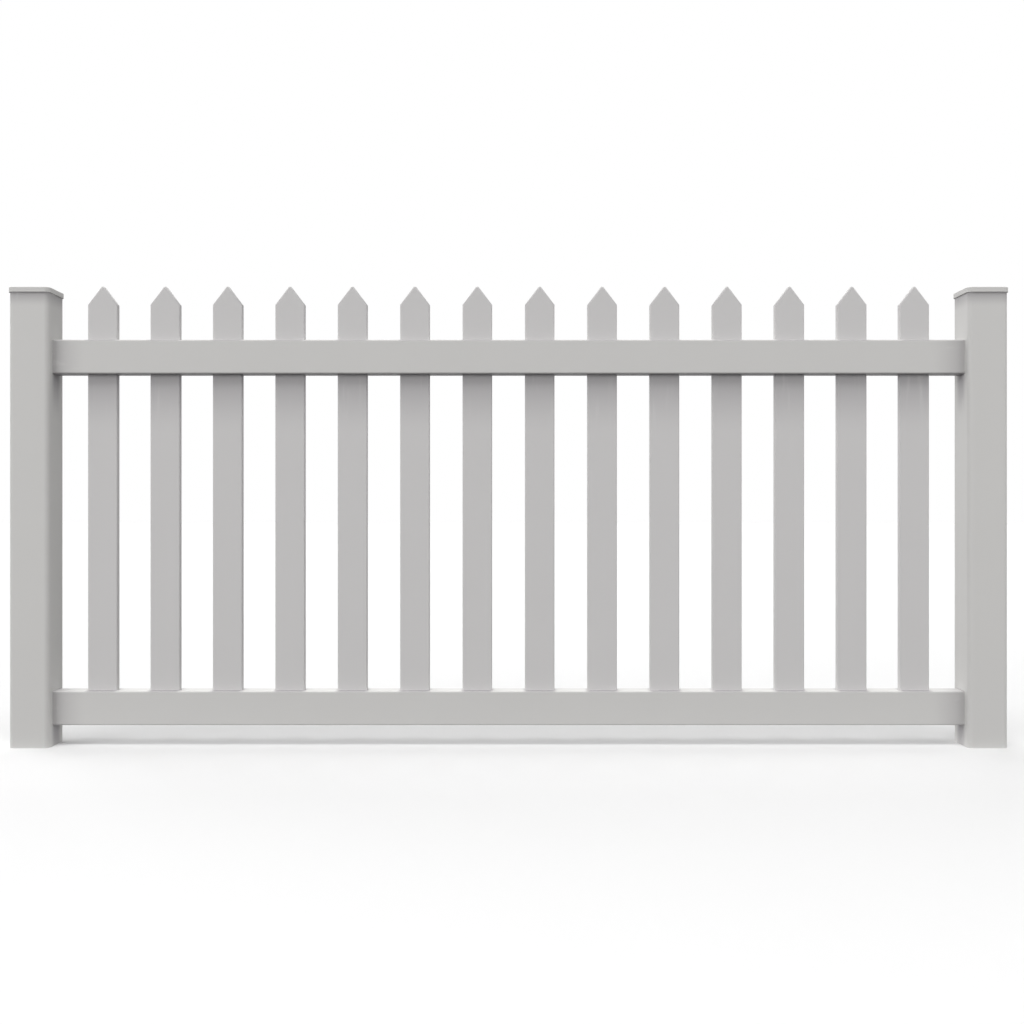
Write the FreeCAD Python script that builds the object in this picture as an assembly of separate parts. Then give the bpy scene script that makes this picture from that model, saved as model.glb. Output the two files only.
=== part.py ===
import FreeCAD
import Part
import math
import os

# One bay of a white extruded picket fence, standing on level ground.
# Two square tube posts carry two box rails, let into routed holes in the posts' inner faces.
# Hollow pointed pickets pass through slots in the top rail and stand on the bottom rail's inner floor.
# Millimetres. X runs along the fence, the front faces -Y, +Z is up.
# The origin is the centre of the left post's foot, on the ground.

# Bay
bay_length = 2438.4  # centre of one post to centre of the other
picket_count = 14

# Posts: square extruded tube, open at the foot for a ground stake or concrete
post_width = 101.6
post_height = 1168.4
post_corner_radius = 12.0
post_wall = 3.8

# Caps: a flat moulded lid whose skirt slips over the top of the post
cap_fit = 0.3  # from the post's face to the inside of the skirt
cap_wall = 2.7
cap_top_thickness = 3.2
cap_skirt_height = 12.6  # from the skirt's lower rim to the cap's top
cap_edge_bevel = 1.0

# Rails: extruded box section, laid with its long side upright
rail_depth = 50.8
rail_height = 87.5
rail_corner_radius = 6.5
rail_wall = 2.5
rail_insertion = 28.0  # how far a rail's end runs in past the post's face
rail_fit = 0.3  # around the rail in its routed hole
bottom_rail_underside = 53.5
top_rail_drop = 126.4  # from the post's top to the top rail's top
weep_hole_diameter = 6.4  # drains the bottom rail
weep_hole_inset = 160.0  # from the post's face to the outer weep holes

# Pickets: flat hollow section with a welded point
picket_width = 76.2
picket_thickness = 19.05
picket_wall = 1.6
picket_edge_radius = 3.2
picket_shoulder_rise = 92.0  # from the top rail's top to where the straight sides end
picket_point_rise = 50.8
picket_tip_radius = 5.0
picket_fit = 0.3  # around the picket in its slot

# Smallest radius left on an inside corner, where a wall is thicker than the outer radius
least_inner_radius = 0.4
# How far a cutting shape runs past the face that it opens
cut_margin = 5.0
# Slack when an edge is picked by where it lies
pick_slack = 0.1

# Levels that follow from the sizes above
top_rail_top = post_height - top_rail_drop
top_rail_underside = top_rail_top - rail_height
picket_shoulder_height = top_rail_top + picket_shoulder_rise

ALONG = FreeCAD.Vector(1, 0, 0)
UP = FreeCAD.Vector(0, 0, 1)


def runs_along(edge, axis):
    """Whether a block's edge lies along the axis, not across it."""
    return abs(edge.tangentAt(edge.FirstParameter).dot(axis)) > pick_slack


def rounded_block(low, high, radius, axis):
    """Block between two corners, with its four edges along one axis rounded."""
    size = high - low
    block = Part.makeBox(size.x, size.y, size.z, low)
    edges = [edge for edge in block.Edges if runs_along(edge, axis)]
    return block.makeFillet(radius, edges)


def inner_radius(outer_radius, wall):
    """Radius of the inside corner that keeps the wall even around the outer corner."""
    return max(outer_radius - wall, least_inner_radius)


def square_column(centre_x, width, base, top, radius):
    """Upright square prism with rounded corners."""
    low = FreeCAD.Vector(centre_x - width / 2, -width / 2, base)
    high = FreeCAD.Vector(centre_x + width / 2, width / 2, top)
    return rounded_block(low, high, radius, UP)


def rail_hole(centre_x, inward, underside):
    """Routed hole for a rail's end, through the post's inner wall only."""
    reach = centre_x + inward * (post_width / 2 + cut_margin)
    half_depth = rail_depth / 2 + rail_fit
    low = FreeCAD.Vector(min(centre_x, reach), -half_depth, underside - rail_fit)
    high = FreeCAD.Vector(max(centre_x, reach), half_depth, underside + rail_height + rail_fit)
    return rounded_block(low, high, rail_corner_radius + rail_fit, ALONG)


def post(centre_x, inward):
    """Square tube from the ground to the cap, routed for both rails on its inner face."""
    bore_width = post_width - 2 * post_wall
    bore_radius = inner_radius(post_corner_radius, post_wall)
    tube = square_column(centre_x, post_width, 0, post_height, post_corner_radius)
    bore = square_column(centre_x, bore_width, -cut_margin, post_height + cut_margin, bore_radius)
    holes = [rail_hole(centre_x, inward, underside) for underside in (bottom_rail_underside, top_rail_underside)]
    return tube.cut([bore] + holes)


def cap(centre_x):
    """Flat lid with a skirt around the post's top, its upper edge bevelled."""
    top = post_height + cap_top_thickness
    rim = top - cap_skirt_height
    pocket_width = post_width + 2 * cap_fit
    pocket_radius = post_corner_radius + cap_fit
    lid = square_column(centre_x, pocket_width + 2 * cap_wall, rim, top, pocket_radius + cap_wall)
    upper_edges = [edge for edge in lid.Edges if edge.BoundBox.ZMin > top - pick_slack]
    lid = lid.makeChamfer(cap_edge_bevel, upper_edges)
    pocket = square_column(centre_x, pocket_width, rim - cut_margin, post_height, pocket_radius)
    return lid.cut(pocket)


def picket_centres():
    """Centre lines of the pickets, evenly spread with the same gap beside each post."""
    clear_span = bay_length - post_width
    gap = (clear_span - picket_count * picket_width) / (picket_count + 1)
    first = post_width / 2 + gap + picket_width / 2
    return [first + index * (picket_width + gap) for index in range(picket_count)]


def picket_slots(base, top):
    """Square punched slots for the pickets, to be cut from a rail between two levels."""
    width = picket_width + 2 * picket_fit
    thickness = picket_thickness + 2 * picket_fit
    slots = []
    for centre_x in picket_centres():
        corner = FreeCAD.Vector(centre_x - width / 2, -thickness / 2, base)
        slots.append(Part.makeBox(width, thickness, top - base, corner))
    return slots


def weep_holes(underside):
    """Drain holes through a rail's lower wall, near each post and at mid span."""
    outer = post_width / 2 + weep_hole_inset
    base = underside - cut_margin
    depth = cut_margin + rail_wall + pick_slack
    places = (outer, bay_length / 2, bay_length - outer)
    return [Part.makeCylinder(weep_hole_diameter / 2, depth, FreeCAD.Vector(x, 0, base)) for x in places]


def rail(underside, slot_base):
    """Box section from post to post, slotted for the pickets from slot_base upwards."""
    start = post_width / 2 - rail_insertion
    low = FreeCAD.Vector(start, -rail_depth / 2, underside)
    high = FreeCAD.Vector(bay_length - start, rail_depth / 2, underside + rail_height)
    section = rounded_block(low, high, rail_corner_radius, ALONG)
    inset = FreeCAD.Vector(-cut_margin, rail_wall, rail_wall)
    bore_radius = inner_radius(rail_corner_radius, rail_wall)
    bore = rounded_block(low + inset, high - inset, bore_radius, ALONG)
    return section.cut([bore] + picket_slots(slot_base, underside + rail_height + cut_margin))


def pointed_board(inset, base):
    """Five-sided board with a rounded tip, centred on the Z axis, drawn in from the picket's outer faces."""
    half_width = picket_width / 2
    slope = picket_point_rise / half_width
    side = half_width - inset
    front = picket_thickness / 2 - inset
    tip = picket_shoulder_height + picket_point_rise - inset * math.hypot(1, slope)
    shoulder = tip - slope * side
    outline = [(-side, base), (side, base), (side, shoulder), (0, tip), (-side, shoulder)]
    corners = [FreeCAD.Vector(x, -front, z) for x, z in outline]
    face = Part.Face(Part.makePolygon(corners + corners[:1]))
    board = face.extrude(FreeCAD.Vector(0, 2 * front, 0))
    ridge = [edge for edge in board.Edges if edge.BoundBox.ZMin > shoulder + pick_slack]
    return board.makeFillet(inner_radius(picket_tip_radius, inset), ridge)


def picket(centre_x):
    """Hollow pointed board with eased edges, closed at the point and open at its foot."""
    foot = bottom_rail_underside + rail_wall
    board = pointed_board(0, foot)
    outline = [edge for edge in board.Edges if edge.BoundBox.YLength < pick_slack]
    rim = [edge for edge in outline if edge.BoundBox.ZMax > foot + pick_slack]
    board = board.makeFillet(picket_edge_radius, rim)
    shell = board.cut(pointed_board(picket_wall, foot - cut_margin))
    shell.translate(FreeCAD.Vector(centre_x, 0, 0))
    return shell


def fence_pieces():
    """Every piece by its node's name, from the ground up."""
    bottom_rail = rail(bottom_rail_underside, bottom_rail_underside + rail_height / 2)
    pieces = {
        "post_left": post(0, 1),
        "post_right": post(bay_length, -1),
        "bottom_rail": bottom_rail.cut(weep_holes(bottom_rail_underside)),
        "top_rail": rail(top_rail_underside, top_rail_underside - cut_margin),
    }
    for number, centre_x in enumerate(picket_centres(), start=1):
        pieces[f"picket_{number:02d}"] = picket(centre_x)
    pieces["cap_left"] = cap(0)
    pieces["cap_right"] = cap(bay_length)
    return pieces


os.makedirs("parts", exist_ok=True)
for node, shape in fence_pieces().items():
    print(node, "valid" if shape.isValid() else "not valid", len(shape.Solids), round(shape.Volume))
    shape.exportStep(f"parts/{node}.step")
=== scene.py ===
# %% [markdown]
# # A bay of white picket fence
#
# This lesson dresses one bay of an extruded vinyl fence: two square posts with flat caps, two box rails and
# fourteen pointed pickets. The solids come from the CAD model, in metres, with the ground at zero and the
# left post's foot at the origin, so nothing has to be fitted by hand.

import math

import bmesh
import bpy
from mathutils import Matrix, Vector


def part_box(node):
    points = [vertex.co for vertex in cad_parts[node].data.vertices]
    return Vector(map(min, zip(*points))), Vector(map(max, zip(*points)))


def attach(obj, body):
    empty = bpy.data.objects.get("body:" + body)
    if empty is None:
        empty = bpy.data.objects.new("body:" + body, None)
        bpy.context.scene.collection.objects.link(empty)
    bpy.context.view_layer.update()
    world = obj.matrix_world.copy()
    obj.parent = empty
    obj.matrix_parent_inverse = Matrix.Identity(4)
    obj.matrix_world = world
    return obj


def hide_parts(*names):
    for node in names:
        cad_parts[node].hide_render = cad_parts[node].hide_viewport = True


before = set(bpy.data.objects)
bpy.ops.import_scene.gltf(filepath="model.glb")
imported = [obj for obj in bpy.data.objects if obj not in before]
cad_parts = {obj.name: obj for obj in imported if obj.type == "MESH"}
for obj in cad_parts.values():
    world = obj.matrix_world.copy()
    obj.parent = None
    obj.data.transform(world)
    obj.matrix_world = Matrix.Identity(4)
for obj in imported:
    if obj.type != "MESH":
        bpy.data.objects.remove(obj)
scene = bpy.context.scene
scene.view_settings.view_transform = "Standard"
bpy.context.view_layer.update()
picket_names = sorted(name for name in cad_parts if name.startswith("picket_"))
print("pieces:", len(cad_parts), "pickets:", len(picket_names))

# %% [markdown]
# ## The camera
#
# The photograph is a straight front view, taken from just above half the fence's height. The camera could
# be matched by eye. Here its place and its lens were solved from edges measured in the photograph, so that
# posts, rails and pickets fall on the same pixels. It needs no shift and no depth of field.

# %% Camera
LENS = 40.83
SENSOR_WIDTH = 36.0
FAR_CLIP = 200.0
CAMERA_PLACE = Vector((1.2282, -3.0008, 0.600))


def add_camera():
    """Level camera that looks straight along +Y."""
    lens = bpy.data.cameras.new("studio_camera")
    lens.lens = LENS
    lens.sensor_width = SENSOR_WIDTH
    lens.clip_end = FAR_CLIP
    camera = bpy.data.objects.new("studio_camera", lens)
    camera.location = CAMERA_PLACE
    camera.rotation_euler = (math.radians(90), 0, 0)
    scene.collection.objects.link(camera)
    scene.camera = camera
    return camera


camera = add_camera()
print("camera at", tuple(round(v, 3) for v in camera.location), "lens", LENS)

# %% [markdown]
# ## White vinyl
#
# Every piece is white PVC. The tubes are extruded, so they carry faint die lines along their length, while
# a cap is moulded and has an even, slightly duller skin. An image could carry this, but it would show a
# seam and repeat. Noise stretched along the extrusion gives the lines and their change of sheen, and broad
# noise lets the white drift a little between two close tones.


# %% Vinyl material
VINYL_IOR = 1.52
VINYL_GLOSS = 0.3
FINE_SHARE = 0.55  # how much each finer layer of a noise counts
CLOUD_SIZE, CLOUD_DETAIL = 6.0, 3.0
LINE_DETAIL, LINE_STRENGTH = 2.0, 0.6


def link(tree, source, output, target, socket):
    """One wire of a node tree, by names."""
    tree.links.new(source.outputs[output], target.inputs[socket])


def stretched_noise(tree, coordinates, scale, fineness, detail):
    """Noise on Object coordinates, stretched by a scale for each axis."""
    mapping = tree.nodes.new("ShaderNodeMapping")
    mapping.inputs["Scale"].default_value = scale
    link(tree, coordinates, "Object", mapping, "Vector")
    noise = tree.nodes.new("ShaderNodeTexNoise")
    noise.inputs["Scale"].default_value = fineness
    noise.inputs["Detail"].default_value = detail
    noise.inputs["Roughness"].default_value = FINE_SHARE
    link(tree, mapping, "Vector", noise, "Vector")
    return noise


def vinyl(name, light_tone, shade_tone, smooth, dull, stretch, line_depth):
    """White PVC: two close tones, a sheen between smooth and dull, and die lines along the stretch."""
    material = bpy.data.materials.new(name)
    material.use_nodes = True
    tree = material.node_tree
    shader = tree.nodes["Principled BSDF"]
    shader.inputs["IOR"].default_value = VINYL_IOR
    shader.inputs["Specular IOR Level"].default_value = VINYL_GLOSS
    coordinates = tree.nodes.new("ShaderNodeTexCoord")

    clouds = stretched_noise(tree, coordinates, (1, 1, 1), CLOUD_SIZE, CLOUD_DETAIL)
    tone = tree.nodes.new("ShaderNodeMix")
    tone.data_type = "RGBA"
    tone.inputs["A"].default_value = (*shade_tone, 1)
    tone.inputs["B"].default_value = (*light_tone, 1)
    link(tree, clouds, "Fac", tone, "Factor")
    tree.links.new(tone.outputs["Result"], shader.inputs["Base Color"])

    lines = stretched_noise(tree, coordinates, stretch, 1.0, LINE_DETAIL)
    sheen = tree.nodes.new("ShaderNodeMapRange")
    sheen.inputs["To Min"].default_value = smooth
    sheen.inputs["To Max"].default_value = dull
    link(tree, lines, "Fac", sheen, "Value")
    link(tree, sheen, "Result", shader, "Roughness")

    die = tree.nodes.new("ShaderNodeBump")
    die.inputs["Strength"].default_value = LINE_STRENGTH
    die.inputs["Distance"].default_value = line_depth
    link(tree, lines, "Fac", die, "Height")
    link(tree, die, "Normal", shader, "Normal")
    return material


WARM_WHITE = (0.600, 0.593, 0.581)
WARM_SHADE = (0.585, 0.578, 0.566)
PICKET_WHITE = (0.590, 0.580, 0.578)
PICKET_SHADE = (0.572, 0.562, 0.560)
UPRIGHT = (420, 420, 1.5)  # the noise's scale along each axis: small along the lines, large across them
LYING = (1.5, 420, 420)
GRAIN = (260, 260, 260)
LINE_DEPTH = 0.00003
GRAIN_DEPTH = 0.00002
TUBE_SHEEN = 0.52, 0.62  # roughness of the smooth and of the dull places
PICKET_SHEEN = 0.54, 0.64
CAP_SHEEN = 0.56, 0.66

POST_VINYL = vinyl("post_vinyl", WARM_WHITE, WARM_SHADE, *TUBE_SHEEN, UPRIGHT, LINE_DEPTH)
RAIL_VINYL = vinyl("rail_vinyl", WARM_WHITE, WARM_SHADE, *TUBE_SHEEN, LYING, LINE_DEPTH)
PICKET_VINYL = vinyl("picket_vinyl", PICKET_WHITE, PICKET_SHADE, *PICKET_SHEEN, UPRIGHT, LINE_DEPTH)
CAP_PLASTIC = vinyl("cap_plastic", WARM_WHITE, WARM_SHADE, *CAP_SHEEN, GRAIN, GRAIN_DEPTH)
print("finishes:", len(bpy.data.materials))

# %% [markdown]
# ## Working with Geometry Nodes from a script
#
# Posts, rails and pickets all follow rules: a section, a length, and cut-outs at set places. They could be
# modelled by hand, but then each change of size means new work. A node tree with named sizes is made once and
# used for every piece. A few small helpers keep the trees short: they start a tree, add a node, cut one mesh
# from another, close the tree and turn its result into a plain mesh.


# %% Tree helpers
CRISP_ANGLE = math.radians(30)  # edges sharper than this stay crisp
QUARTER_TURN = math.radians(90)


def new_tree(name, sizes):
    """A tree with a named input for each size, and the outputs that carry them into it."""
    tree = bpy.data.node_groups.new(name, "GeometryNodeTree")
    for label, kind in sizes.items():
        tree.interface.new_socket(label, in_out="INPUT", socket_type="NodeSocket" + kind)
    tree.interface.new_socket("Geometry", in_out="OUTPUT", socket_type="NodeSocketGeometry")
    return tree, tree.nodes.new("NodeGroupInput").outputs


def step(tree, kind, inputs, **options):
    """One node. Each input is a number or another node's output. Gives the node's first output."""
    node = tree.nodes.new(kind)
    for option, value in options.items():
        setattr(node, option, value)
    for place, value in inputs.items():
        if isinstance(value, bpy.types.NodeSocket):
            tree.links.new(value, node.inputs[place])
        else:
            node.inputs[place].default_value = value
    return node.outputs[0]


def maths(tree, operation, first, second):
    """One operation on two numbers."""
    return step(tree, "ShaderNodeMath", {0: first, 1: second}, operation=operation)


def place(tree, x, y, z):
    """A point from three numbers."""
    return step(tree, "ShaderNodeCombineXYZ", {"X": x, "Y": y, "Z": z})


def moved(tree, geometry, shift, turn=(0, 0, 0)):
    """Geometry turned about the origin, then shifted."""
    parts = {"Geometry": geometry, "Translation": shift, "Rotation": turn}
    return step(tree, "GeometryNodeTransform", parts)


def cut(tree, solid, tools):
    """A solid with every tool taken out of it."""
    joined = tree.nodes.new("GeometryNodeJoinGeometry")
    for tool in tools:
        tree.links.new(tool, joined.inputs[0])
    parts = {"Mesh 1": solid, "Mesh 2": joined.outputs[0]}
    return step(tree, "GeometryNodeMeshBoolean", parts, operation="DIFFERENCE", solver="EXACT")


def close_tree(tree, mesh, finish):
    """End of a tree: real copies, smooth faces with their crisp edges, and the finish."""
    angle = tree.nodes.new("GeometryNodeInputMeshEdgeAngle").outputs["Unsigned Angle"]
    crisp = step(tree, "FunctionNodeCompare", {0: angle, 1: CRISP_ANGLE}, operation="GREATER_THAN")
    real = step(tree, "GeometryNodeRealizeInstances", {"Geometry": mesh})
    smooth = step(tree, "GeometryNodeSetShadeSmooth", {"Geometry": real, "Shade Smooth": True})
    edged = {"Geometry": smooth, "Selection": crisp, "Shade Smooth": False}
    edged = step(tree, "GeometryNodeSetShadeSmooth", edged, domain="EDGE")
    coated = step(tree, "GeometryNodeSetMaterial", {"Geometry": edged, "Material": finish})
    tree.links.new(coated, tree.nodes.new("NodeGroupOutput").inputs[0])


def new_piece(name, mesh):
    """An object at the origin, with its place in its mesh."""
    piece = bpy.data.objects.new(name, mesh)
    scene.collection.objects.link(piece)
    return piece


def made_plain(piece):
    """Run a piece's modifiers once, keep the result as a plain mesh and drop them."""
    even = piece.modifiers.new("even_shading", "WEIGHTED_NORMAL")
    even.keep_sharp = True
    graph = bpy.context.evaluated_depsgraph_get()
    ready = piece.evaluated_get(graph)
    mesh = bpy.data.meshes.new_from_object(ready, preserve_all_data_layers=True, depsgraph=graph)
    finish = next(material for material in mesh.materials if material)
    mesh.materials.clear()
    mesh.materials.append(finish)
    mesh.polygons.foreach_set("material_index", [0] * len(mesh.polygons))
    piece.modifiers.clear()
    piece.data = mesh
    return piece


def from_tree(name, tree, sizes):
    """A piece with the tree on it. Each size goes to its socket's identifier before the tree runs."""
    piece = new_piece(name, bpy.data.meshes.new(name))
    maker = piece.modifiers.new("maker", "NODES")
    maker.node_group = tree
    for socket in tree.interface.items_tree:
        if socket.in_out == "INPUT":
            maker[socket.identifier] = sizes[socket.name]
    return piece


def seat(piece, node):
    """The piece takes the place of its CAD node, which is hidden, and moves with the fence."""
    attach(piece, "root")
    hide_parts(node)
    print(piece.name, "faces:", len(piece.data.polygons))


# %% [markdown]
# ## Rounded bar
#
# Posts and rails are pushed through a die, so each is one rounded rectangle drawn out along a line. Curve to
# Mesh does just that, and the same bar, made a little smaller or larger, also serves as the tool that cuts a
# bore or a routed hole.


# %% Rounded bar
MARGIN = 0.005  # how far a cutting tool runs past the face that it opens
CORNER_POINTS = 8


def rounded_bar_tree():
    """Upright bar between two levels, centred on the Z axis, with rounded corners."""
    labels = ("Width", "Depth", "Corner", "Base", "Top")
    tree, size = new_tree("rounded_bar", {label: "Float" for label in labels})
    outline = {"Width": size["Width"], "Height": size["Depth"]}
    outline = step(tree, "GeometryNodeCurvePrimitiveQuadrilateral", outline)
    rounding = {"Curve": outline, "Count": CORNER_POINTS, "Radius": size["Corner"]}
    outline = step(tree, "GeometryNodeFilletCurve", rounding, mode="POLY")
    ends = {"Start": place(tree, 0, 0, size["Base"]), "End": place(tree, 0, 0, size["Top"])}
    path = step(tree, "GeometryNodeCurvePrimitiveLine", ends)
    sweep = {"Curve": path, "Profile Curve": outline, "Fill Caps": True}
    bar = step(tree, "GeometryNodeCurveToMesh", sweep)
    tree.links.new(bar, tree.nodes.new("NodeGroupOutput").inputs[0])
    return tree


ROUNDED_BAR = rounded_bar_tree()


def bar(tree, width, depth, corner, base, top):
    """The rounded bar, inside another tree."""
    sizes = {"Width": width, "Depth": depth, "Corner": corner, "Base": base, "Top": top}
    return step(tree, "GeometryNodeGroup", sizes, node_tree=ROUNDED_BAR)


def grown(tree, size, extra):
    """A size made larger by twice an extra, as for a clearance on both sides."""
    return maths(tree, "ADD", size, maths(tree, "MULTIPLY", extra, 2.0))


def shrunk(tree, size, wall):
    """A size less a wall on both sides."""
    return maths(tree, "SUBTRACT", size, maths(tree, "MULTIPLY", wall, 2.0))


print("rounded bar:", len(ROUNDED_BAR.nodes), "nodes")

# %% [markdown]
# ## Posts
#
# A post is a square tube, open at its foot so that a stake or concrete can go in, with two holes routed in
# its inner face for the rails. It is made as the shop makes it: the outer bar, less its bore, less a tool
# shaped like a rail at each level. The right post is the left one turned half a turn.


# %% Posts
POST_WALL = 0.0038
POST_CORNER = 0.012
RAIL_CORNER = 0.0040  # tighter than on the CAD rail: its edges are crisp in the photograph
RAIL_FIT = 0.0003

post_low, post_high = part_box("post_left")
rail_boxes = {name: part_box(name) for name in ("bottom_rail", "top_rail")}
RAIL_HEIGHT = rail_boxes["top_rail"][1].z - rail_boxes["top_rail"][0].z
RAIL_DEPTH = rail_boxes["top_rail"][1].y - rail_boxes["top_rail"][0].y


def routed_hole(tree, size, level):
    """Tool for one rail's hole: a rail lying along X, with its fit all round."""
    height = grown(tree, size["Rail Height"], size["Fit"])
    depth = grown(tree, size["Rail Depth"], size["Fit"])
    corner = maths(tree, "ADD", size["Rail Corner"], size["Fit"])
    reach = maths(tree, "ADD", maths(tree, "MULTIPLY", size["Width"], 0.5), MARGIN)
    tool = bar(tree, height, depth, corner, 0.0, reach)
    middle = maths(tree, "ADD", level, maths(tree, "MULTIPLY", size["Rail Height"], 0.5))
    return moved(tree, tool, place(tree, 0, 0, middle), (0, QUARTER_TURN, 0))


def post_tree():
    """Square tube with two routed holes."""
    labels = ("Width", "Height", "Corner", "Wall", "Rail Depth", "Rail Height", "Rail Corner", "Fit")
    labels += ("Low Rail", "High Rail", "Centre", "Turn")
    tree, size = new_tree("routed_post", {**{label: "Float" for label in labels}, "Finish": "Material"})
    tube = bar(tree, size["Width"], size["Width"], size["Corner"], 0.0, size["Height"])
    inside = shrunk(tree, size["Width"], size["Wall"])
    inner_corner = maths(tree, "SUBTRACT", size["Corner"], size["Wall"])
    bore_top = maths(tree, "ADD", size["Height"], MARGIN)
    bore = bar(tree, inside, inside, inner_corner, -MARGIN, bore_top)
    holes = [routed_hole(tree, size, size[level]) for level in ("Low Rail", "High Rail")]
    post = cut(tree, tube, [bore] + holes)
    turn = place(tree, 0, 0, size["Turn"])
    post = moved(tree, post, place(tree, size["Centre"], 0, 0), turn)
    close_tree(tree, post, size["Finish"])
    return tree


POST_TREE = post_tree()


def make_post(node, turn):
    """One post, from the box of its CAD node."""
    low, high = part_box(node)
    sizes = {
        "Width": high.x - low.x,
        "Height": high.z,
        "Corner": POST_CORNER,
        "Wall": POST_WALL,
        "Rail Depth": RAIL_DEPTH,
        "Rail Height": RAIL_HEIGHT,
        "Rail Corner": RAIL_CORNER,
        "Fit": RAIL_FIT,
        "Low Rail": rail_boxes["bottom_rail"][0].z,
        "High Rail": rail_boxes["top_rail"][0].z,
        "Centre": (low.x + high.x) / 2,
        "Turn": turn,
        "Finish": POST_VINYL,
    }
    seat(made_plain(from_tree(node + "_tube", POST_TREE, sizes)), node)


make_post("post_left", 0.0)
make_post("post_right", math.pi)

# %% [markdown]
# ## Rails
#
# A rail is the same kind of tube laid on its side. Its slots are punched square, one for each picket, through
# the top alone in the bottom rail and right through in the top rail. Drawing fourteen slots by hand would be
# slow and uneven, so a line of points carries one tool at even steps. The bottom rail also has three weep
# holes, which keep rain from standing in it.


# %% Rails
RAIL_WALL = 0.0025
PICKET_FIT = 0.0003
WEEP_HOLE = 0.0064
WEEP_INSET = 0.160  # from the post's face to the outer weep holes
WEEP_HOLES = 3
DRILL_SIDES = 24
DRILL_REACH = 4.0  # the tool's length, in wall thicknesses

picket_boxes = [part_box(name) for name in picket_names]
PICKET_WIDTH = picket_boxes[0][1].x - picket_boxes[0][0].x
PICKET_THICKNESS = picket_boxes[0][1].y - picket_boxes[0][0].y
FIRST_PICKET = (picket_boxes[0][0].x + picket_boxes[0][1].x) / 2
PICKET_STEP = (picket_boxes[-1][0].x - picket_boxes[0][0].x) / (len(picket_boxes) - 1)


def row_of(tree, tool, count, start, spacing):
    """Copies of a tool at even steps along X."""
    line = {"Count": count, "Start Location": start, "Offset": place(tree, spacing, 0, 0)}
    points = step(tree, "GeometryNodeMeshLine", line, mode="OFFSET")
    row = step(tree, "GeometryNodeInstanceOnPoints", {"Points": points, "Instance": tool})
    return step(tree, "GeometryNodeRealizeInstances", {"Geometry": row})


def rail_tree():
    """Box section along X, slotted for the pickets and drilled along its underside."""
    labels = ("Start", "End", "Underside", "Height", "Depth", "Corner", "Wall", "First Slot", "Slot Step")
    labels += ("Slot Width", "Slot Thickness", "Slot Base", "Slot Top")
    labels += ("First Hole", "Hole Step", "Hole Width")
    kinds = {label: "Float" for label in labels}
    kinds |= {"Slots": "Int", "Holes": "Int", "Finish": "Material"}
    tree, size = new_tree("slotted_rail", kinds)
    section = bar(tree, size["Height"], size["Depth"], size["Corner"], size["Start"], size["End"])
    inner_corner = maths(tree, "SUBTRACT", size["Corner"], size["Wall"])
    before = maths(tree, "SUBTRACT", size["Start"], MARGIN)
    beyond = maths(tree, "ADD", size["End"], MARGIN)
    inside = shrunk(tree, size["Height"], size["Wall"]), shrunk(tree, size["Depth"], size["Wall"])
    bore = bar(tree, *inside, inner_corner, before, beyond)
    middle = maths(tree, "ADD", size["Underside"], maths(tree, "MULTIPLY", size["Height"], 0.5))
    lie = place(tree, 0, 0, middle), (0, QUARTER_TURN, 0)

    slot_height = maths(tree, "SUBTRACT", size["Slot Top"], size["Slot Base"])
    punch = place(tree, size["Slot Width"], size["Slot Thickness"], slot_height)
    punch = step(tree, "GeometryNodeMeshCube", {"Size": punch})
    slot_middle = maths(tree, "MULTIPLY", maths(tree, "ADD", size["Slot Top"], size["Slot Base"]), 0.5)
    slot_start = place(tree, size["First Slot"], 0, slot_middle)
    slots = row_of(tree, punch, size["Slots"], slot_start, size["Slot Step"])
    radius = maths(tree, "MULTIPLY", size["Hole Width"], 0.5)
    reach = maths(tree, "MULTIPLY", size["Wall"], DRILL_REACH)
    drill = {"Vertices": DRILL_SIDES, "Radius": radius, "Depth": reach}
    drill = step(tree, "GeometryNodeMeshCylinder", drill)
    hole_start = place(tree, size["First Hole"], 0, size["Underside"])
    holes = row_of(tree, drill, size["Holes"], hole_start, size["Hole Step"])
    rail = cut(tree, moved(tree, section, *lie), [moved(tree, bore, *lie), slots, holes])
    close_tree(tree, rail, size["Finish"])
    return tree


RAIL_TREE = rail_tree()


def make_rail(node, slot_base, holes):
    """One rail, from the box of its CAD node, slotted from a level upwards."""
    low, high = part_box(node)
    first_hole = post_high.x + WEEP_INSET
    last_hole = low.x + high.x - first_hole
    sizes = {
        "Start": low.x,
        "End": high.x,
        "Underside": low.z,
        "Height": high.z - low.z,
        "Depth": high.y - low.y,
        "Corner": RAIL_CORNER,
        "Wall": RAIL_WALL,
        "First Slot": FIRST_PICKET,
        "Slot Step": PICKET_STEP,
        "Slots": len(picket_names),
        "Slot Width": PICKET_WIDTH + 2 * PICKET_FIT,
        "Slot Thickness": PICKET_THICKNESS + 2 * PICKET_FIT,
        "Slot Base": slot_base,
        "Slot Top": high.z + MARGIN,
        "First Hole": first_hole,
        "Hole Step": (last_hole - first_hole) / (WEEP_HOLES - 1),
        "Hole Width": WEEP_HOLE,
        "Holes": holes,
        "Finish": RAIL_VINYL,
    }
    seat(made_plain(from_tree(node + "_section", RAIL_TREE, sizes)), node)


low_rail = rail_boxes["bottom_rail"]
make_rail("bottom_rail", (low_rail[0].z + low_rail[1].z) / 2, WEEP_HOLES)
make_rail("top_rail", rail_boxes["top_rail"][0].z - MARGIN, 0)

# %% [markdown]
# ## Pickets
#
# A picket is a flat hollow board with a mitred and welded point. The row repeats one board fourteen times, so
# Geometry Nodes lay it out: an outline of five points, a small round on the tip, and a line of copies. Bevel
# then eases the rim, as on the real section, and Solidify gives the thin wall and leaves the foot open. The
# row is split at the end, because every picket is a piece of its own.


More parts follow.
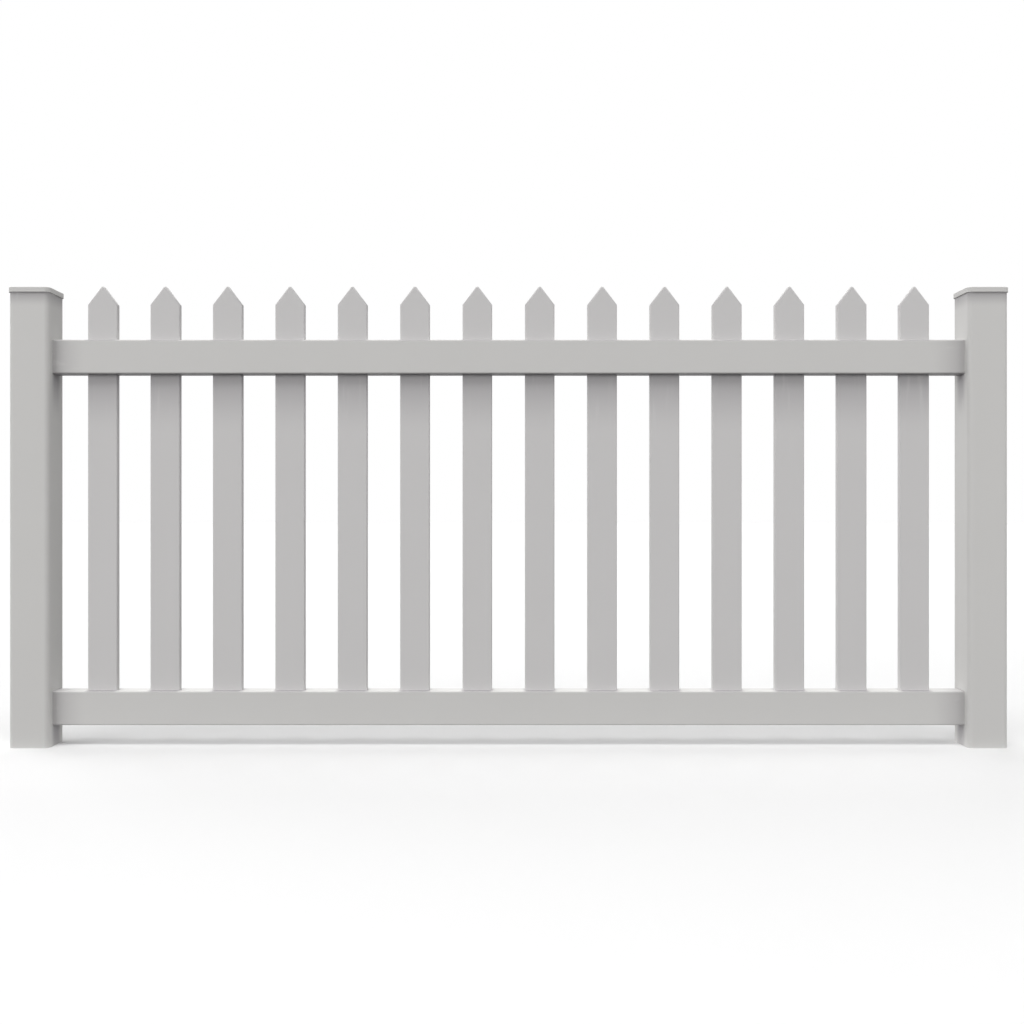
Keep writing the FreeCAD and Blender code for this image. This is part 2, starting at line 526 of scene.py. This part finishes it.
# %% Pickets
PICKET_SHOULDER = 1.134  # where the straight sides end
POINT_RISE = 0.0508
TIP_ROUND = 0.005
RIM_ROUND = 0.0032
PICKET_WALL = 0.0016
TIP_POINTS = 6
RIM_STEPS = 4
RIM_ANGLE = math.radians(50)  # only edges sharper than this are eased
NUMBER_SLACK = 0.1  # when a point's number is compared
LOOKS_TO_GROUND = -0.9  # a face whose direction is lower than this is the foot's


def picket_outline(tree, size):
    """Five-sided outline with the tip rounded: foot, shoulders and tip."""
    right = maths(tree, "MULTIPLY", size["Width"], 0.5)
    left = maths(tree, "MULTIPLY", size["Width"], -0.5)
    tip = maths(tree, "ADD", size["Shoulder"], size["Rise"])
    corners = ((left, size["Foot"]), (right, size["Foot"]), (right, size["Shoulder"]), (0, tip))
    corners += ((left, size["Shoulder"]),)
    index = tree.nodes.new("GeometryNodeInputIndex").outputs[0]
    choose = tree.nodes.new("GeometryNodeIndexSwitch")
    choose.data_type = "VECTOR"
    while len(choose.index_switch_items) < len(corners):
        choose.index_switch_items.new()
    tree.links.new(index, choose.inputs["Index"])
    for number, (x, y) in enumerate(corners):
        tree.links.new(place(tree, x, y, 0), choose.inputs[number + 1])
    tip_number = corners.index((0, tip))
    loop = step(tree, "GeometryNodeCurvePrimitiveCircle", {"Resolution": len(corners)})
    loop = step(tree, "GeometryNodeSetPosition", {"Geometry": loop, "Position": choose.outputs[0]})
    same = {0: index, 1: tip_number, 2: NUMBER_SLACK}
    at_tip = step(tree, "ShaderNodeMath", same, operation="COMPARE")
    radius = maths(tree, "MULTIPLY", at_tip, size["Tip"])
    rounding = {"Curve": loop, "Count": TIP_POINTS, "Radius": radius}
    return step(tree, "GeometryNodeFilletCurve", rounding, mode="POLY")


def picket_row_tree():
    """A row of pointed boards, open at the foot."""
    labels = ("Width", "Thickness", "Foot", "Shoulder", "Rise", "Tip", "First", "Step")
    kinds = {**{label: "Float" for label in labels}, "Count": "Int", "Finish": "Material"}
    tree, size = new_tree("picket_row", kinds)
    half = maths(tree, "MULTIPLY", size["Thickness"], 0.5)
    behind = maths(tree, "MULTIPLY", size["Thickness"], -0.5)
    ends = {"Start": place(tree, 0, 0, behind), "End": place(tree, 0, 0, half)}
    path = step(tree, "GeometryNodeCurvePrimitiveLine", ends)
    sweep = {"Curve": path, "Profile Curve": picket_outline(tree, size), "Fill Caps": True}
    board = step(tree, "GeometryNodeCurveToMesh", sweep)
    board = moved(tree, board, (0, 0, 0), (QUARTER_TURN, 0, 0))
    normal = tree.nodes.new("GeometryNodeInputNormal").outputs[0]
    parts = tree.nodes.new("ShaderNodeSeparateXYZ")
    tree.links.new(normal, parts.inputs[0])
    lower = {0: parts.outputs["Z"], 1: LOOKS_TO_GROUND}
    is_foot = step(tree, "FunctionNodeCompare", lower, operation="LESS_THAN")
    open_board = {"Geometry": board, "Selection": is_foot}
    board = step(tree, "GeometryNodeDeleteGeometry", open_board, domain="FACE", mode="ALL")
    row = row_of(tree, board, size["Count"], place(tree, size["First"], 0, 0), size["Step"])
    close_tree(tree, row, size["Finish"])
    return tree


def picket_row():
    """The whole row with its rims eased and its walls made hollow."""
    sizes = {
        "Width": PICKET_WIDTH,
        "Thickness": PICKET_THICKNESS,
        "Foot": picket_boxes[0][0].z,
        "Shoulder": PICKET_SHOULDER,
        "Rise": POINT_RISE,
        "Tip": TIP_ROUND,
        "First": FIRST_PICKET,
        "Step": PICKET_STEP,
        "Count": len(picket_names),
        "Finish": PICKET_VINYL,
    }
    row = from_tree("picket_row", picket_row_tree(), sizes)
    rim = row.modifiers.new("rim", "BEVEL")
    rim.width = RIM_ROUND
    rim.segments = RIM_STEPS
    rim.limit_method = "ANGLE"
    rim.angle_limit = RIM_ANGLE
    hollow = row.modifiers.new("hollow", "SOLIDIFY")
    hollow.thickness = PICKET_WALL
    hollow.offset = -1.0
    hollow.use_even_offset = True
    return made_plain(row)


def one_of_row(row, number):
    """A copy of the row's mesh that keeps one picket, counted from the left."""
    mesh = bmesh.new()
    mesh.from_mesh(row.data)
    others = [v for v in mesh.verts if round((v.co.x - FIRST_PICKET) / PICKET_STEP) != number]
    bmesh.ops.delete(mesh, geom=others, context="VERTS")
    single = bpy.data.meshes.new(picket_names[number] + "_board")
    mesh.to_mesh(single)
    mesh.free()
    single.materials.append(PICKET_VINYL)
    return single


row = picket_row()
for number, name in enumerate(picket_names):
    seat(new_piece(name + "_board", one_of_row(row, number)), name)
bpy.data.objects.remove(row)

# %% [markdown]
# ## Caps
#
# A cap is a shallow moulded lid. Its skirt slips over the post, and its top edge is softly rounded. A lid has
# no repeat and no path, so nodes would only hide a simple thing: here a few rounded squares are stacked as
# rings and joined into one closed shell, from the pocket's ceiling round the rim to the top.

# %% Caps
CAP_WALL = 0.0027
CAP_TOP_ROUND = 0.001
CAP_RIM_ROUND = 0.0005
ROUND_STEPS = 4


def rounded_square(centre_x, half, corner, level):
    """Points of a square with rounded corners, in order."""
    points = []
    for quarter in range(4):
        for part in range(CORNER_POINTS + 1):
            angle = QUARTER_TURN * (quarter + part / CORNER_POINTS)
            side = Vector((half - corner, half - corner))
            side.rotate(Matrix.Rotation(QUARTER_TURN * quarter, 2))
            x = centre_x + side.x + corner * math.cos(angle)
            points.append((x, side.y + corner * math.sin(angle), level))
    return points


def cap_rings(node):
    """Rings of a lid: the pocket's ceiling, the rim inside and out, then the rounded top edge."""
    low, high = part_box(node)
    centre_x = (low.x + high.x) / 2
    half = (high.x - low.x) / 2
    pocket = half - CAP_WALL
    pocket_corner = POST_CORNER + pocket - (post_high.x - post_low.x) / 2
    corner = pocket_corner + CAP_WALL
    rings = [
        rounded_square(centre_x, pocket, pocket_corner, post_high.z),
        rounded_square(centre_x, pocket, pocket_corner, low.z),
    ]
    turns = [QUARTER_TURN * part / ROUND_STEPS for part in range(ROUND_STEPS + 1)]
    for turn in turns:
        inset = CAP_RIM_ROUND * (1 - math.sin(turn))
        level = low.z + CAP_RIM_ROUND * (1 - math.cos(turn))
        rings.append(rounded_square(centre_x, half - inset, corner - inset, level))
    for turn in turns:
        inset = CAP_TOP_ROUND * (1 - math.cos(turn))
        level = high.z - CAP_TOP_ROUND * (1 - math.sin(turn))
        rings.append(rounded_square(centre_x, half - inset, corner - inset, level))
    return rings


def make_cap(node):
    """One lid, closed and facing outwards."""
    mesh = bmesh.new()
    rings = [[mesh.verts.new(point) for point in ring] for ring in cap_rings(node)]
    for ring, following in zip(rings, rings[1:]):
        for here in range(len(ring)):
            after = (here + 1) % len(ring)
            mesh.faces.new((ring[here], ring[after], following[after], following[here]))
    mesh.faces.new(rings[0])
    mesh.faces.new(rings[-1])
    bmesh.ops.recalc_face_normals(mesh, faces=mesh.faces)
    for face in mesh.faces:
        face.smooth = True
    for edge in mesh.edges:
        edge.smooth = edge.calc_face_angle() < CRISP_ANGLE
    lid = bpy.data.meshes.new(node + "_lid")
    mesh.to_mesh(lid)
    mesh.free()
    lid.materials.append(CAP_PLASTIC)
    seat(made_plain(new_piece(node + "_lid", lid)), node)


make_cap("cap_left")
make_cap("cap_right")

# %% [markdown]
# ## Painted shade where shade falls
#
# The vinyl's colour is darkened with painted shade and shadow: on the rails in front of and
# behind each picket, along their undersides and at their ends, on the pickets under the top rail, and on
# the posts under the caps and the rails. It could be painted in an image, but all these places follow from
# the sizes, so Object coordinates and a few fades place it, and soft noise keeps it uneven.

# %% Painted shade helpers
# grey tone of the painted shade and shadow, mixed into the vinyl's colour
PAINTED_SHADE_TONE = (0.300, 0.287, 0.300)
PATCH_EDGE = 0.45  # noise above this leaves the painted shade whole
PATCH_DETAIL = 2.0
BAY_MIDDLE = (post_high.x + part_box("post_right")[0].x) / 2
HALF_SPAN = BAY_MIDDLE - post_high.x  # from there to either post's inner face


def faded(tree, value, full, none):
    """A value turned into a share: one at full, zero at none, eased in between."""
    fade = {"Value": value, "From Min": none, "From Max": full}
    return step(tree, "ShaderNodeMapRange", fade, interpolation_type="SMOOTHSTEP")


def product(tree, *shares):
    """Several shares multiplied."""
    total = shares[0]
    for share in shares[1:]:
        total = maths(tree, "MULTIPLY", total, share)
    return total


def object_coordinates(tree):
    """The coordinates that the finish already reads."""
    return next(node for node in tree.nodes if node.type == "TEX_COORD")


def painted_shade_point(material):
    """The material's tree, with the Object coordinates as X, Y and Z."""
    tree = material.node_tree
    point = tree.nodes.new("ShaderNodeSeparateXYZ")
    link(tree, object_coordinates(tree), "Object", point, "Vector")
    return tree, point.outputs["X"], point.outputs["Y"], point.outputs["Z"]


def off_middle(tree, x):
    """How far a point is from the middle of the bay."""
    return maths(tree, "ABSOLUTE", maths(tree, "SUBTRACT", x, BAY_MIDDLE), 0.0)


def lay_painted_shade(material, amount, stretch):
    """Mixes the painted shade's tone over the vinyl's own by an amount, broken up by stretched noise."""
    tree = material.node_tree
    colour = tree.nodes["Principled BSDF"].inputs["Base Color"]
    clean = colour.links[0].from_socket
    patches = stretched_noise(tree, object_coordinates(tree), stretch, 1.0, PATCH_DETAIL)
    uneven = faded(tree, patches.outputs["Fac"], PATCH_EDGE, 0.0)
    tone = tree.nodes.new("ShaderNodeMix")
    tone.data_type = "RGBA"
    tone.inputs["B"].default_value = (*PAINTED_SHADE_TONE, 1)
    tree.links.new(clean, tone.inputs["A"])
    tree.links.new(product(tree, amount, uneven), tone.inputs["Factor"])
    tree.links.new(tone.outputs["Result"], colour)


# prints the tone of the painted shade
print("dust tone:", PAINTED_SHADE_TONE)

# %% Painted shade on the rails
FOOT_SHADE = 0.036  # painted shade reaches this far across the rail, from the picket's face
FOOT_SIDE = 0.009  # how softly it ends at the picket's two sides
END_SHADE = 0.090  # painted shade reaches this far along the rail, from the post's face
END_SHARE = 0.41
UNDERSIDE_SHARE = 0.85
LOOKS_UP = 0.45, 0.0  # height of the face's direction: full painted shade, and none
LOOKS_DOWN = -0.98, -0.85
FOOT_PATCHES = (60, 60, 60)
RAIL_PATCHES = (20, 60, 60)


def painted_shade_on_rails():
    """Painted shade on the faces that look up beside each picket, on the undersides and all round the rails'
    ends.
    """
    tree, x, y, _ = painted_shade_point(RAIL_VINYL)
    along = maths(tree, "PINGPONG", maths(tree, "SUBTRACT", x, FIRST_PICKET), PICKET_STEP / 2)
    beside = faded(tree, along, PICKET_WIDTH / 2 - FOOT_SIDE, PICKET_WIDTH / 2 + FOOT_SIDE)
    across = maths(tree, "ABSOLUTE", y, 0.0)
    before = faded(tree, across, PICKET_THICKNESS / 2, PICKET_THICKNESS / 2 + FOOT_SHADE)
    facing = tree.nodes.new("ShaderNodeSeparateXYZ")
    link(tree, tree.nodes.new("ShaderNodeNewGeometry"), "Normal", facing, "Vector")
    upward = faded(tree, facing.outputs["Z"], *LOOKS_UP)
    lay_painted_shade(RAIL_VINYL, product(tree, beside, before, upward), FOOT_PATCHES)
    downward = faded(tree, facing.outputs["Z"], *LOOKS_DOWN)
    lay_painted_shade(RAIL_VINYL, product(tree, downward, UNDERSIDE_SHARE), RAIL_PATCHES)

    at_end = faded(tree, off_middle(tree, x), HALF_SPAN, HALF_SPAN - END_SHADE)
    lay_painted_shade(RAIL_VINYL, product(tree, at_end, END_SHARE), RAIL_PATCHES)


painted_shade_on_rails()
# prints the size of the rail finish with its painted shade
print("dust on the rails:", len(RAIL_VINYL.node_tree.nodes), "nodes")

# %% Painted shade on the pickets and posts
UNDER_RAIL = 0.160  # painted shadow reaches this far down the picket, from the top rail
UNDER_RAIL_SHARE = 0.52
UNDER_CAP = 0.038  # painted shadow reaches this far down the post, from the cap's rim
UNDER_CAP_SHARE = 0.62
UNDER_END = 0.12  # painted shade reaches this far down the post's inner face, from a rail's underside
UNDER_END_SHARE = 0.85
END_CORE, END_BLUR = 0.008, 0.036  # to each side of the rail's centre line: full painted shade, and none
PICKET_PATCHES = (60, 60, 6)
CAP_PATCHES = (40, 40, 8)
POST_PATCHES = (60, 60, 20)


def painted_shadow_under_rail():
    """Painted shadow on the pickets, fading downwards from the top rail."""
    tree, _, _, z = painted_shade_point(PICKET_VINYL)
    underside, top = rail_boxes["top_rail"][0].z, rail_boxes["top_rail"][1].z
    below = faded(tree, z, underside, underside - UNDER_RAIL)
    not_above = faded(tree, z, underside, top)
    lay_painted_shade(PICKET_VINYL, product(tree, below, not_above, UNDER_RAIL_SHARE), PICKET_PATCHES)


def painted_shadow_under_cap():
    """Painted shadow on the posts, fading downwards from the cap's rim."""
    tree, _, _, z = painted_shade_point(POST_VINYL)
    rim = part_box("cap_left")[0].z
    below = faded(tree, z, rim, rim - UNDER_CAP)
    lay_painted_shade(POST_VINYL, product(tree, below, UNDER_CAP_SHARE), CAP_PATCHES)


def painted_shade_under_ends():
    """Painted shade on the posts' inner faces, fading down and sideways from each rail."""
    tree, x, y, z = painted_shade_point(POST_VINYL)
    on_face = faded(tree, off_middle(tree, x), HALF_SPAN, HALF_SPAN + POST_CORNER)
    within = faded(tree, maths(tree, "ABSOLUTE", y, 0.0), END_CORE, END_BLUR)
    shares = []
    for underside in (low.z for low, _ in rail_boxes.values()):
        below = faded(tree, z, underside, underside - UNDER_END)
        not_above = faded(tree, z, underside, underside + RAIL_CORNER)
        shares.append(product(tree, below, not_above))
    either = maths(tree, "MAXIMUM", *shares)
    lay_painted_shade(POST_VINYL, product(tree, on_face, within, either, UNDER_END_SHARE), POST_PATCHES)


painted_shadow_under_rail()
painted_shadow_under_cap()
painted_shade_under_ends()
# prints the size of each finish that carries painted shade
for shaded_finish in (PICKET_VINYL, POST_VINYL):
    print("dust on", shaded_finish.name, len(shaded_finish.node_tree.nodes), "nodes")

# %% [markdown]
# ## Floor and light
#
# The photograph was taken in a bright white studio: soft light from above, from the left and from behind,
# hardly any from below, and a white floor that keeps a soft shadow. The white could come from stronger
# lamps, but then the fence itself would bleach. So the lamps stay plain, and Light Path lets the camera see
# a white world and a pale floor. For the light that bounces, the floor is dark, because the photograph's
# undersides are dark, all but a narrow white strip below the fence that lifts the bottom rail's underside.


# %% Floor
FLOOR_HALF = 60.0
FLOOR_LEVEL = -0.0003  # just under the posts' feet
FLOOR_SEEN = 0.775  # the tone that the camera sees
BOUNCE_WHITE = 0.85  # the tone that the bounced light meets in the strip
BOUNCE_DARK = 0.10  # and everywhere else
WHITE_STRIP = 0.040  # half the strip's width
STRIP_EDGE = 0.030  # how softly it ends


def add_floor():
    """Wide plain floor with a white strip under the fence."""
    mesh = bpy.data.meshes.new("studio_floor")
    signs = ((-1, -1), (1, -1), (1, 1), (-1, 1))
    corners = [(FLOOR_HALF * x, FLOOR_HALF * y, FLOOR_LEVEL) for x, y in signs]
    mesh.from_pydata(corners, [], [(0, 1, 2, 3)])
    floor = bpy.data.objects.new("studio_floor", mesh)
    scene.collection.objects.link(floor)
    material = bpy.data.materials.new("studio_floor")
    material.use_nodes = True
    tree = material.node_tree
    tree.nodes.remove(tree.nodes["Principled BSDF"])
    seen = tree.nodes.new("ShaderNodeBsdfDiffuse")
    seen.inputs["Color"].default_value = (FLOOR_SEEN, FLOOR_SEEN, FLOOR_SEEN, 1)
    lit = tree.nodes.new("ShaderNodeBsdfDiffuse")
    coordinates = tree.nodes.new("ShaderNodeTexCoord")
    parts = tree.nodes.new("ShaderNodeSeparateXYZ")
    link(tree, coordinates, "Object", parts, "Vector")
    bounce = tree.nodes.new("ShaderNodeMapRange")
    bounce.inputs["From Min"].default_value = WHITE_STRIP
    bounce.inputs["From Max"].default_value = WHITE_STRIP + STRIP_EDGE
    bounce.inputs["To Min"].default_value = BOUNCE_WHITE
    bounce.inputs["To Max"].default_value = BOUNCE_DARK
    tree.links.new(maths(tree, "ABSOLUTE", parts.outputs["Y"], 0.0), bounce.inputs["Value"])
    link(tree, bounce, "Result", lit, "Color")
    path = tree.nodes.new("ShaderNodeLightPath")
    mix = tree.nodes.new("ShaderNodeMixShader")
    tree.links.new(path.outputs["Is Diffuse Ray"], mix.inputs[0])
    tree.links.new(seen.outputs[0], mix.inputs[1])
    tree.links.new(lit.outputs[0], mix.inputs[2])
    tree.links.new(mix.outputs[0], tree.nodes["Material Output"].inputs["Surface"])
    mesh.materials.append(material)


add_floor()
print("floor:", 2 * FLOOR_HALF, "m wide")


# %% World and lamps
def add_world():
    """White to the camera and in gloss. It lights nothing, so that all the light is the lamps'."""
    world = bpy.data.worlds.new("studio")
    scene.world = world
    world.use_nodes = True
    tree = world.node_tree
    background = tree.nodes["Background"]
    path = tree.nodes.new("ShaderNodeLightPath")
    strength = tree.nodes.new("ShaderNodeMapRange")
    strength.inputs["To Min"].default_value = 1.0
    strength.inputs["To Max"].default_value = 0.0
    link(tree, path, "Is Diffuse Ray", strength, "Value")
    link(tree, strength, "Result", background, "Strength")
    background.inputs["Color"].default_value = (1, 1, 1, 1)


def add_soft_lamp(name, side, height, spread, strength):
    """Distant lamp as wide as a spread, so its light is even along the whole bay. Angles in degrees."""
    side, height = math.radians(side), math.radians(height)
    towards = Vector((-math.sin(side), -math.cos(side), math.tan(height)))
    light = bpy.data.lights.new(name, "SUN")
    light.angle = math.radians(spread)
    light.energy = strength
    lamp = bpy.data.objects.new(name, light)
    lamp.rotation_euler = towards.to_track_quat("Z", "Y").to_euler()
    scene.collection.objects.link(lamp)


LAMPS = {
    # name: side angle (left of the front), height angle, spread, strength
    "left_front_low": (45, 12, 40, 1.52),
    "right_front_low": (-45, 12, 40, 0.92),
    "left_back_low": (135, 12, 40, 0.80),
    "right_low": (-90, 12, 40, 0.50),
    "left_high": (60, 45, 40, 0.48),
    "right_high": (-60, 45, 40, 0.20),
    "left_back_high": (120, 45, 40, 0.75),
    "front_top": (0, 68, 30, 1.80),
    "back_high": (180, 45, 40, 0.95),
}

add_world()
for lamp_name, settings in LAMPS.items():
    add_soft_lamp(lamp_name, *settings)
print("lamps:", len(bpy.data.lights))
